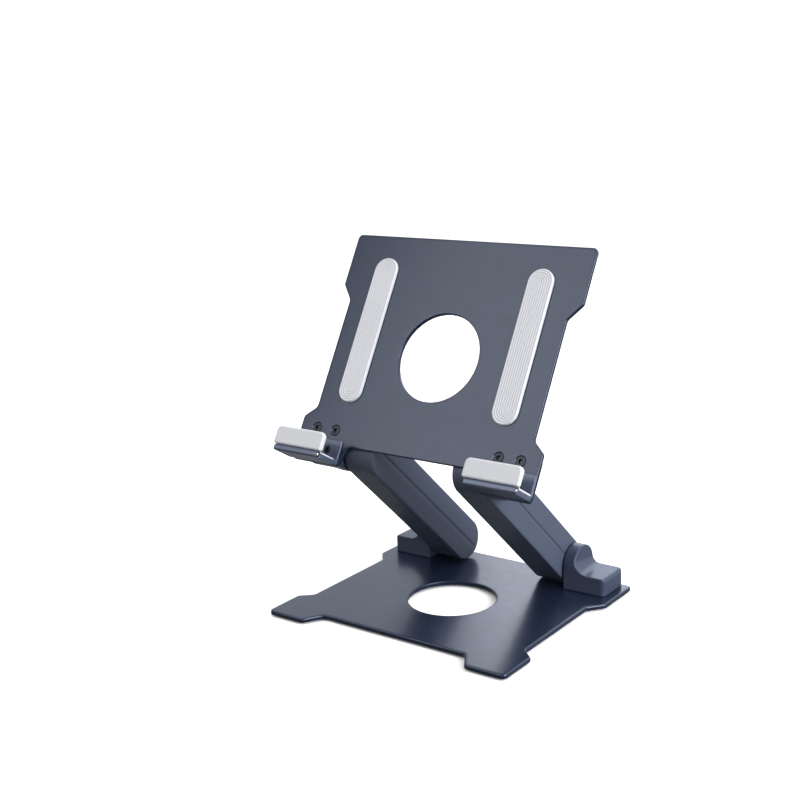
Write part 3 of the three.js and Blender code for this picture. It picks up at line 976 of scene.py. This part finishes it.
@dataclass
class Base(PlatformBuild):
    """The base: its platform, and four oblong rubber feet sunk in the underside."""

    foot_length: float = 22.0
    foot_width: float = 9.0
    foot_sunk: float = 0.5
    foot_proud: float = 1.2
    foot_x: float = 68.0
    foot_y: float = 62.0

    def plate_cutters(self) -> list[Shell]:
        """The screws' seats and the feet's pockets."""
        pocket = stadium_loop(self.foot_length + 0.3, self.foot_width + 0.3, 14)
        wall = carried(pocket, np.array([(0, -self.thickness - 1), (0, -self.thickness + self.foot_sunk)]))
        cutter = Shell().grid(wall, wrap=True).cap(wall[:, 0]).cap(wall[:, 1])
        spots = self.both(((self.foot_x, self.foot_y), (self.foot_x, -self.foot_y)))
        return super().plate_cutters() + [cutter.moved(STRAIGHT, (x, y, 0)) for x, y in spots]

    def foot_shell(self) -> Shell:
        """A round-edged oblong whose underside has two shallow grooves that follow its outline."""
        low, high = -self.thickness - self.foot_proud, -self.thickness + self.foot_sunk - 0.1
        inset = steps(0.5, self.foot_width / 2, 24)
        groove = 0.25 * np.exp(-(((inset - 1.4) / 0.22) ** 2)) + 0.25 * np.exp(-(((inset - 2.6) / 0.22) ** 2))
        sole = np.stack([inset, low + groove], axis=-1)
        profile = np.concatenate([[(self.foot_width / 2, high), (0, high)], round_edge(0.5, low, -1), sole[1:]])
        loop = stadium_loop(self.foot_length, self.foot_width, 20)
        return Shell().grid(carried(loop, profile), wrap=True)

    def build(self) -> None:
        """Build the plate, the hinge sides and the feet."""
        self.build_plate()
        block = self.block_shell()
        for side in Side:
            self.build_hinge_side(side, block)
            for word, y in (("front", -self.foot_y), ("rear", self.foot_y)):
                node = f"foot_{word}_{side.label}"
                shell = self.foot_shell().moved(STRAIGHT, (self.foot_x, y, 0))
                self.dress(self.make(f"{node}_rubber", shell, side), node, FOOT_RUBBER, "foot_rubber")


@dataclass
class Tray(PlatformBuild):
    """The tray: its platform, two ribbed grips, and the two hooks with their pads, pins and screws."""

    kind: Platform = Platform.TRAY
    tab_inner_x: float = 48.5
    tab_ramp_x: float = 4.0
    grip_length: float = 92.0
    grip_width: float = 16.0
    grip_sunk: float = 0.6
    grip_proud: float = 2.0
    grip_x: float = 54.0
    grip_y: float = -12.0
    hook_screws: tuple[tuple[float, float], ...] = ((58.0, 64.5), (74.0, 64.5))
    hook_x0: float = 50.6
    hook_x1: float = 83.4
    hook_root_x: float = 48.6
    flange_y: float = 58.0
    flange_t: float = 1.2
    ledge_y: tuple[float, float] = (70.2, 73.0)
    barrel_y: float = 71.1
    barrel_z: float = -19.5
    barrel_r: float = 1.9
    lip_y: float = 59.4
    lip_x: tuple[float, float] = (52.5, 81.5)
    lip_z: tuple[float, float] = (-20.5, -19.3)
    pin_r: float = 1.25
    pad_x: tuple[float, float] = (48.8, 84.7)
    pad_y: tuple[float, float] = (57.9, 69.05)
    pad_z: tuple[float, float] = (-21.7, -18.2)
    pad_corner: float = 3.2
    pad_round: float = 1.1
    liner_t: float = 0.95
    liner_end: float = -4.6
    liner_fillet: float = 2.2

    def plate_cutters(self) -> list[Shell]:
        """The block screws' seats, the hook screws' holes and the grips' pockets."""
        hole = drilled(HOOK_SCREW.shank_r + SCREW_PLAY, -self.thickness - 1, 1)
        pocket = stadium_loop(self.grip_length + 0.3, self.grip_width + 0.3, 16)
        wall = carried(pocket, np.array([(0, -self.thickness - 1), (0, -self.thickness + self.grip_sunk)]))
        grip = Shell().grid(wall, wrap=True).cap(wall[:, 0]).cap(wall[:, 1])
        cutters = [hole.moved(STRAIGHT, (x, y, 0)) for x, y in self.both(self.hook_screws)]
        cutters += [grip.moved(QUARTER_TURN, (x, self.grip_y, 0)) for x in (self.grip_x, -self.grip_x)]
        return super().plate_cutters() + cutters

    def pilots(self) -> tuple[tuple[float, float], ...]:
        """The hook screws go into the block too."""
        return self.block_screws + self.hook_screws

    def grip_shell(self) -> Shell:
        """A round-edged oblong with ribs that follow its outline: the level is a cosine of the inset."""
        low, high = -self.thickness - self.grip_proud, -self.thickness + self.grip_sunk - 0.1
        inset = steps(0.7, self.grip_width / 2, 72)
        ribs = 0.22 * (1 - np.cos(2 * pi * (inset - 0.7) / 1.46)) / 2
        face = np.stack([inset, low + ribs], axis=-1)
        profile = np.concatenate([[(self.grip_width / 2, high), (0, high)], round_edge(0.7, low, -1), face[1:]])
        loop = stadium_loop(self.grip_length, self.grip_width, 24)
        grip = Shell().grid(carried(loop, profile), wrap=True)
        return grip.moved(QUARTER_TURN, (self.grip_x, self.grip_y, 0))

    def bracket_section(self) -> np.ndarray:
        """The bent sheet's section in y and z: flange, ledge and the thick front edge.

        The front edge is a circle squared a little, by raising its cosine and sine to a power below one.
        """
        face = -self.thickness - 0.05
        inner, outer = self.ledge_y
        bend = arc((inner - 1.0, face - self.flange_t - 1.0), 1.0, 90, 0, 5)
        start = np.degrees(np.arccos((inner - self.barrel_y) / self.barrel_r))
        turn = np.radians(steps(start, 360, 28))
        flat = np.stack([np.cos(turn), np.sin(turn)], axis=-1)
        flat = np.sign(flat) * np.abs(flat) ** 0.6
        roll = np.array([self.barrel_y, self.barrel_z]) + self.barrel_r * flat
        head = np.array([(self.flange_y, face), (self.flange_y, face - self.flange_t)])
        tail = np.array([(outer, face - 2.0), (outer - 0.6, face)])
        return np.concatenate([head, bend, roll, tail])

    def bracket_shell(self) -> Shell:
        """The section carried along X, its inner end slanting from the root to the narrower front."""
        section = self.bracket_section()
        depth = (section[:, 1] + self.thickness) / (self.barrel_z + self.thickness)
        start = self.hook_root_x + (self.hook_x0 - self.hook_root_x) * np.clip(depth, 0, 1.2)
        part = with_margins(0, 1, 0.03, 6)
        x = start[:, None] + (self.hook_x1 - start[:, None]) * part[None, :]
        y, z = (np.broadcast_to(section[:, i, None], x.shape) for i in (0, 1))
        grid = np.stack([x, y, z], axis=-1)
        return Shell().grid(grid, wrap=True).cap(grid[:, 0]).cap(grid[:, -1])

    def box_shell(self, x: tuple[float, float], y: tuple[float, float], z: tuple[float, float]) -> Shell:
        """A plain closed box, used only to cut or to join."""
        loop = np.array([(x[0], y[0]), (x[1], y[0]), (x[1], y[1]), (x[0], y[1])])
        grid = np.stack([np.concatenate([loop, np.full((4, 1), level)], axis=1) for level in z], axis=1)
        return Shell().grid(grid, wrap=True).cap(grid[:, 0]).cap(grid[:, 1])

    def pad_shell(self) -> Shell:
        """The sleeve: a round-edged slab with large rounds at the two upper corners.

        The edge's profile is carried round the outline, and the faces run straight in to the middle line.
        """
        (x0, x1), (top, bottom), (front, back) = self.pad_x, self.pad_y, self.pad_z
        corners = [(x0, bottom, 1.3), (x0, top, self.pad_corner), (x1, top, self.pad_corner), (x1, bottom, 1.3)]
        loop = densified(rounded_loop(corners, 10), 1.2)
        edge = [round_edge(self.pad_round, front, -1, 8)[::-1], round_edge(self.pad_round, back, 1, 8)]
        wall = carried(loop, np.concatenate(edge))
        middle = loop.copy()
        reach = (bottom - top) / 2
        middle[:, 0] = np.clip(middle[:, 0], x0 + reach, x1 - reach)
        middle[:, 1] = (top + bottom) / 2
        shell = Shell().grid(wall, wrap=True)
        share = steps(0, 1, 5)[None, :, None]
        for end, level in ((0, front), (-1, back)):
            target = np.concatenate([middle, np.full((len(middle), 1), level)], axis=1)[:, None]
            shell.grid(wall[:, None, end] * (1 - share) + target * share, wrap=True)
        return shell

    def liner_shell(self) -> Shell:
        """The liner's section carried along X: a fillet off the pad, then a thin sheet back along the ledge."""
        bottom, back = self.pad_y[1], self.pad_z[1]
        fillet = arc((bottom - self.liner_fillet, back + self.liner_fillet), self.liner_fillet, 270, 360, 8)
        tip = arc((bottom + self.liner_t / 2, self.liner_end), self.liner_t / 2, 180, 0, 6)
        clear = self.barrel_z + self.barrel_r + 0.3
        under = np.array([(bottom + self.liner_t, clear), (bottom - 0.05, clear - 0.2), (bottom - 0.05, back - 0.2)])
        section = np.concatenate([fillet, tip, under, [(bottom - self.liner_fillet, back - 0.2)]])
        part = with_margins(self.hook_x0 + 0.4, self.hook_x1, 0.8, 6)
        x = np.broadcast_to(part[None, :], (len(section), len(part)))
        y, z = (np.broadcast_to(section[:, i, None], x.shape) for i in (0, 1))
        grid = np.stack([x, y, z], axis=-1)
        return Shell().grid(grid, wrap=True).cap(grid[:, 0]).cap(grid[:, -1])

    def pin_shell(self) -> Shell:
        """A domed pin along X: the profile is a cylinder with a spherical cap at each end."""
        low, high, dome = self.hook_x0 - 0.4, self.hook_x1 + 0.55, 0.5
        angle = np.radians(steps(0, 90, 6))
        cap = np.stack([self.pin_r * np.sin(angle), dome * (1 - np.cos(angle))], axis=-1)
        first = np.stack([cap[:, 0], low + cap[:, 1]], axis=-1)
        last = np.stack([cap[:, 0], high - cap[:, 1]], axis=-1)[::-1]
        profile = np.concatenate([first, last])
        turned = Shell().grid(turned_grid(profile, 32), wrap=True)
        return turned.moved(TO_X, (0, self.barrel_y, self.barrel_z))

    def whole_pad(self) -> Shell:
        """The sleeve and its liner as one softened moulding."""
        pad = mesh_object("pad", self.pad_shell(), OWN_PLACE, Side.RIGHT)
        combined(pad, [mesh_object("liner", self.liner_shell(), OWN_PLACE, Side.RIGHT)], "UNION")
        melted(pad, 0.22, 6)
        return shell_of(pad)

    def flange_face(self) -> float:
        """Height of the flange's outer face, on which the hook's screws sit."""
        return -self.thickness - 0.05 - self.flange_t

    def whole_bracket(self) -> Shell:
        """The bent strip with its lip, pin bore and screw holes, its edges softened by the paint."""
        bracket = mesh_object("bracket", self.bracket_shell(), OWN_PLACE, Side.RIGHT)
        lip = self.box_shell(self.lip_x, (self.lip_y, self.barrel_y), self.lip_z)
        combined(bracket, [mesh_object("lip", lip, OWN_PLACE, Side.RIGHT)], "UNION")
        bore = drilled(self.pin_r + 0.3, self.hook_root_x - 1, self.hook_x1 + 1)
        cuts = [bore.moved(TO_X, (0, self.barrel_y, self.barrel_z))]
        seat = countersink(HOOK_SCREW, self.flange_face(), 4.0)
        cuts += [seat.moved(STRAIGHT, (x, y, 0)) for x, y in self.hook_screws]
        combined(bracket, [mesh_object("cut", cut, OWN_PLACE, Side.RIGHT) for cut in cuts], "DIFFERENCE")
        melted(bracket, 0.26, 6)
        return shell_of(bracket)

    def build_hook(self, side: Side, bracket_shell: Shell, pad_shell: Shell) -> None:
        """One hook: bracket, pad, pin and screws.

        Args:
            side: Which side.
            bracket_shell: The bracket's shell.
            pad_shell: The pad's shell.
        """
        end = side.label
        bracket = self.make(f"hook_bracket_{end}_painted", bracket_shell, side)
        # The bracket takes the paler paint, as painted light on its front band.
        self.dress(bracket, f"hook_bracket_{end}", LIT_HOOK_PAINT, "painted_plate")

        pad = self.make(f"hook_pad_{end}_silicone", pad_shell, side)
        x, z = self.lip_x, self.lip_z
        pocket = self.box_shell(
            (x[0] - 0.3, x[1] + 0.3), (self.lip_y - 0.3, self.pad_y[1] + 1), (z[0] - 0.2, z[1] + 0.2)
        )
        combined(pad, [self.make("pocket", pocket, side)], "DIFFERENCE")
        self.dress(pad, f"hook_pad_{end}", PAD_SILICONE, "silicone")

        pin = self.make(f"hook_pin_{end}_polished", self.pin_shell(), side)
        self.dress(pin, f"hook_pin_{end}", ZINC, "zinc_hardware")
        for number, (sx, sy) in enumerate(self.hook_screws, 1):
            node = f"hook_screw_{end}_{number}"
            shell = HOOK_SCREW.shell().moved(STRAIGHT, (sx, sy, self.flange_face() + 0.1))
            self.dress(self.make(f"{node}_turned", shell, side), node, BLACK_ZINC, "zinc_hardware")

    def build(self) -> None:
        """Build the plate, the hinge sides, the grips and the hooks."""
        self.build_plate()
        block, bracket, pad = self.block_shell(), self.whole_bracket(), self.whole_pad()
        for side in Side:
            self.build_hinge_side(side, block)
            node = f"tray_grip_{side.label}"
            self.dress(self.make(f"{node}_ribbed", self.grip_shell(), side), node, GRIP_SILICONE, "silicone")
            self.build_hook(side, bracket, pad)


# ---------------------------------------------------------------- arms


@dataclass
class Arms(Assembly):
    """Two hollow arms, each a back and a front cover that meet at the middle of the arm's sides."""

    length: float = 114.0
    radius: float = 13.0
    x0: float = 27.6
    x1: float = 49.2
    wall: float = 2.0
    edge_r: float = 1.0
    seam: float = 0.3
    draft: float = 0.0024
    door_r: float = 7.4
    screw_y: tuple[float, ...] = (-32.0, -82.0)
    screw_x: float = 36.0
    screw_seat: float = 5.5
    post_r: float = 3.2

    def cover_grid(self, inset: float, edge_r: float) -> np.ndarray:
        """One skin of a cover, outline by cross profile.

        The outline is half an oblong: a quarter circle, a straight and a quarter circle. Across it the skin
        climbs one side from the seam, turns over a rounded edge, crosses the back and comes down the other
        side. The sides lean in with height, as a moulding's draft does.

        Args:
            inset: How far the skin lies inside the cover's outer surface.
            edge_r: Radius of the two long edges.
        Returns:
            Grid of points.
        """
        r = self.radius - inset
        seam = self.seam / 2
        low = float(np.degrees(np.arcsin(seam / (r - edge_r))))
        near = np.radians(steps(low, 90, 22))
        far = np.radians(steps(90, 180 - low, 22))
        straight = steps(0, -self.length, 30)[1:-1]
        y = np.concatenate([r * np.cos(near), straight, -self.length + r * np.cos(far)])
        z = np.concatenate([r * np.sin(near), np.full(len(straight), r), r * np.sin(far)])
        centre_y = np.clip(y, -self.length, 0)
        shrink = (r - edge_r) / r
        inner_y = centre_y + (y - centre_y) * shrink
        inner_z = z * shrink
        x0, x1 = self.x0 + inset, self.x1 - inset
        lip = 0.22 if inset == 0 else 0.02
        bottom = [(x0 + lip, 0.0), (x0 + 0.3 * lip, 0.3 * lip), (x0, lip)]
        rows = [np.stack([np.full_like(y, x), inner_y, np.minimum(seam + h, inner_z)], -1) for x, h in bottom]
        climb = steps(0, 1, 6)[1:]
        first_z = rows[-1][:, 2]
        rows += [np.stack([np.full_like(y, x0), inner_y, first_z + (inner_z - first_z) * t], -1) for t in climb]
        turn = np.radians(steps(0, 90, 6)[1:])
        for angle in turn:
            out = sin(angle)
            x = np.full_like(y, x0 + edge_r * (1 - cos(angle)))
            rows.append(np.stack([x, inner_y + (y - inner_y) * out, inner_z + (z - inner_z) * out], -1))
        half = np.stack(rows, axis=1)
        middle = steps(x0 + edge_r, x1 - edge_r, 6)[1:-1]
        crossing = np.stack([np.stack([np.full_like(y, x), y, z], -1) for x in middle], axis=1)
        other = half[:, ::-1].copy()
        other[..., 0] = x0 + x1 - other[..., 0]
        grid = np.concatenate([half, crossing, other], axis=1)
        centre = (self.x0 + self.x1) / 2
        grid[..., 0] = centre + (grid[..., 0] - centre) * (1 - self.draft * grid[..., 2])
        return grid

    def cover_shell(self, half: Half) -> Shell:
        """Outer and inner skins, and the rim that joins them along the seam.

        Args:
            half: Which cover.
        Returns:
            The cover's shell.
        """
        outer = self.cover_grid(0.0, self.edge_r)
        inner = self.cover_grid(self.wall, 0.4)
        shell = Shell().grid(outer).grid(inner[:, ::-1])
        for edge in (0, -1):
            shell.grid(np.stack([outer[:, edge], inner[:, edge]], axis=1))
            shell.grid(np.stack([outer[edge], inner[edge]], axis=1))
        return shell.moved(half.flip, (0, 0, 0))

    def doors(self) -> list[Shell]:
        """Cutters for the round holes at the hinges, through the wall beside the lug."""
        door = drilled(self.door_r, self.x1 - self.wall - 1, self.x1 + 1)
        return [door.moved(TO_X, (0, y, 0)) for y in (0.0, -self.length)]

    def post(self, y: float, half: Half) -> Shell:
        """A screw post inside a cover, from its skin to the seam.

        Args:
            y: The screw's place along the arm.
            half: Which cover.
        Returns:
            The post's shell.
        """
        ends = (self.seam / 2 + 0.1, self.radius - self.wall / 2)
        profile = np.array([(0, ends[0]), (self.post_r, ends[0]), (self.post_r, ends[1]), (0, ends[1])], float)
        grid = turned_grid(profile, 32)
        return Shell().grid(grid, wrap=True).moved(half.flip, (self.screw_x, y, 0))

    def screw_hole(self, y: float, half: Half) -> Shell:
        """A screw's hole: a counterbore with a softened mouth in the back cover, a plain pilot in the front.

        Args:
            y: The screw's place along the arm.
            half: Which cover.
        Returns:
            The cutter.
        """
        shank = ARM_SCREW.shank_r + 0.2
        if half is Half.FRONT:
            profile = [(0, 1), (shank, 1), (shank, -8), (0, -8)]
        else:
            mouth, top = ARM_SCREW.head_r + 0.35, self.radius
            seat = top - self.screw_seat
            profile = [(0, -1), (shank, -1), (shank, seat), (mouth, seat), (mouth, top - 0.35)]
            profile += [(mouth + 0.1, top - 0.12), (mouth + 0.4, top + 0.02), (mouth + 0.4, top + 1), (0, top + 1)]
        hole = Shell().grid(turned_grid(np.array(profile, float), 40), wrap=True)
        return hole.moved(STRAIGHT, (self.screw_x, y, 0))

    def build_cover(self, side: Side, half: Half) -> None:
        """One cover, with its posts joined and its holes cut.

        Args:
            side: Which side.
            half: Which cover.
        """
        node = f"arm_{half.name.lower()}_cover_{side.label}"
        cover = self.make(f"{node}_moulded", self.cover_shell(half), side)
        combined(cover, [self.make("post", self.post(y, half), side) for y in self.screw_y], "UNION")
        cuts = self.doors() + [self.screw_hole(y, half) for y in self.screw_y]
        combined(cover, [self.make("cut", cut, side) for cut in cuts], "DIFFERENCE")
        self.dress(cover, node, ARM_PLASTIC, "moulded_body")

    def build(self) -> None:
        """Build the four covers and their screws."""
        for side in Side:
            for half in Half:
                self.build_cover(side, half)
            for number, y in enumerate(self.screw_y, 1):
                node = f"arm_screw_{side.label}_{number}"
                level = self.radius - self.screw_seat + ARM_SCREW.head_h + 0.1
                shell = ARM_SCREW.shell().moved(FLIP_Z, (self.screw_x, y, level))
                self.dress(self.make(f"{node}_turned", shell, side), node, BLACK_ZINC, "zinc_hardware")


# ---------------------------------------------------------------- studio


@dataclass
class Studio:
    """Camera, lights and floor. The camera's place is in millimetres in the shared frame."""

    eye: tuple[float, float, float] = (434.4, -619.8, 319.5)
    yaw: float = -0.647
    pitch: float = 0.247
    roll: float = -0.038
    lens_mm: float = 60.18
    sensor_mm: float = 36.0
    front_grey: float = 0.5
    table_grey: float = 0.3

    def camera(self) -> None:
        """Aim the camera: forward from yaw and pitch, then right and up turned by the roll."""
        ahead = Vector((sin(self.yaw) * cos(self.pitch), cos(self.yaw) * cos(self.pitch), -sin(self.pitch)))
        right = Vector((cos(self.yaw), -sin(self.yaw), 0.0))
        up = right.cross(ahead)
        turned_right = right * cos(self.roll) + up * sin(self.roll)
        turned_up = up * cos(self.roll) - right * sin(self.roll)
        data = bpy.data.cameras.new("camera")
        data.lens = self.lens_mm
        data.sensor_width = self.sensor_mm
        data.clip_end = 20.0
        camera = bpy.data.objects.new("camera", data)
        axes = Matrix((turned_right, turned_up, -ahead)).transposed().to_4x4()
        camera.matrix_world = Matrix.Translation(Vector(self.eye) * MM) @ axes
        bpy.context.scene.collection.objects.link(camera)
        bpy.context.scene.camera = camera

    def softbox(self, name: str, at: tuple[float, float, float], size: float, watts: float, tint: str) -> None:
        """A square area light that faces the stand's middle.

        Args:
            name: The light's name.
            at: Its place in metres.
            size: Its side in metres.
            watts: Its power.
            tint: Its colour as sRGB hex.
        """
        data = bpy.data.lights.new(name, "AREA")
        data.size = size
        data.energy = watts
        data.color = srgb(tint)[:3]
        light = bpy.data.objects.new(name, data)
        toward = Vector((0, 0, 0.09)) - Vector(at)
        light.rotation_mode = "QUATERNION"
        light.rotation_quaternion = toward.to_track_quat("-Z", "Y")
        light.location = at
        bpy.context.scene.collection.objects.link(light)

    def overhead(self) -> None:
        """A very soft light from high behind and to the right, even over the whole floor."""
        data = bpy.data.lights.new("overhead", "SUN")
        data.energy = 1.15
        data.angle = radians(50)
        light = bpy.data.objects.new("overhead", data)
        light.rotation_euler = Vector((0.35, 0.3, 1.0)).to_track_quat("Z", "Y").to_euler()
        bpy.context.scene.collection.objects.link(light)

    def surround(self) -> None:
        """A white room behind the stand that falls to grey behind the camera and below the floor.

        The light's strength is the product of two smooth ramps, one with the Y of its direction and one with
        the Z.
        """
        world = bpy.data.worlds.new("surround")
        world.use_nodes = True
        tree = world.node_tree
        toward = add_node(tree, "TexCoord", {}, {}).outputs["Generated"]
        parts = add_node(tree, "SeparateXYZ", {}, {0: toward})
        depth = {"Value": parts.outputs["Y"], "From Min": -0.8, "From Max": 0.35}
        height = {"Value": parts.outputs["Z"], "From Min": -0.3, "From Max": -0.02}
        ends = ({"To Min": self.front_grey, "To Max": 1.02}, {"To Min": self.table_grey, "To Max": 1.0})
        soft = {"interpolation_type": "SMOOTHSTEP"}
        shares = [add_node(tree, "MapRange", soft, {**run, **end}) for run, end in zip((depth, height), ends)]
        both = {0: shares[0].outputs[0], 1: shares[1].outputs[0]}
        strength = add_node(tree, "Math", {"operation": "MULTIPLY"}, both).outputs[0]
        shader = tree.nodes["Background"]
        shader.inputs["Color"].default_value = (1.0, 1.0, 1.0, 1.0)
        tree.links.new(strength, shader.inputs["Strength"])
        bpy.context.scene.world = world

    def lights(self) -> None:
        """A key from the right and above, a fill from the left front, a rim from behind, and the surround."""
        self.softbox("key", (1.3, -0.15, 0.5), 0.9, 34.0, "#fdfdff")
        self.softbox("fill", (-0.5, -0.95, 0.9), 0.9, 8.0, "#fffdf8")
        self.softbox("rim", (-0.3, 1.2, 0.6), 0.9, 5.0, "#ffffff")
        self.overhead()
        self.surround()
        bpy.context.scene.view_settings.view_transform = "Standard"

    def floor(self) -> None:
        """A large pale disc, level with the soles of the feet."""
        profile = np.stack([steps(0, 8000, 8), np.zeros(9)], axis=-1)
        shell = Shell().grid(turned_grid(profile, 64), wrap=True)
        floor = mesh_object("floor", shell, Place((0, 0), (0, 0), 0), Side.RIGHT)
        if floor.data.polygons[0].normal.z < 0:
            floor.data.flip_normals()
        paper = Finish("matt_white_paper", "#fafafa", "#fbfbfc", 0.8, 0.05, 0.0, 1.0, 0.01, drift_mm=400.0)
        floor.data.materials.append(paper.build())
        floor.visible_diffuse = False  # the stand is lit as if on a grey table, though the floor is white
        floor.visible_glossy = False


# ---------------------------------------------------------------- the stand


def hinge_axis(name: str) -> tuple[float, float]:
    """A joint's y and z in millimetres, from the frame."""
    joint = next(j for j in frame["joints"] if j["name"] == name)
    return joint["pos_m"][1] / MM, joint["pos_m"][2] / MM


def tray_turn() -> float:
    """The tray's turn about X: its outer face, -Z in its own frame, looks along the tray_rest mount's axis."""
    mount = next(m for m in frame["record"]["mounts"] if m["name"] == "tray_rest")
    _, y, z = mount["axis"]
    return atan2(y, -z)


def dress_hidden_hardware() -> None:
    """Give the hinge hardware inside the arms its steel finishes."""
    for name, node in frame["nodes"].items():
        if "shaft" in name:
            finish = TURNED_STEEL
        elif "nut" in name:
            finish = ZINC
        elif any(word in name for word in ("washer", "spring", "link_bar")):
            finish = PRESSED_STEEL
        else:
            continue
        node.data.materials.clear()
        node.data.materials.append(finish.build())
        LOG.info("%s: %s", name, finish.name)


def main() -> None:
    """Build the stand in order: base, arms, tray, hidden hardware, and then the studio."""
    logging.basicConfig(level=logging.INFO, format="%(name)s: %(message)s")
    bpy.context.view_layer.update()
    lower, upper = hinge_axis("base_hinge"), hinge_axis("tray_hinge")
    own = (PlatformBuild.hinge_y, PlatformBuild.hinge_z)
    lift = atan2(upper[1] - lower[1], lower[0] - upper[0])
    Base("base", Place(own, lower, 0.0)).build()
    Arms("arms", Place((0.0, 0.0), lower, -lift)).build()
    Tray("tray", Place(own, upper, tray_turn())).build()
    dress_hidden_hardware()
    studio = Studio()
    studio.camera()
    studio.lights()
    studio.floor()


if __name__ == "__main__":
    main()
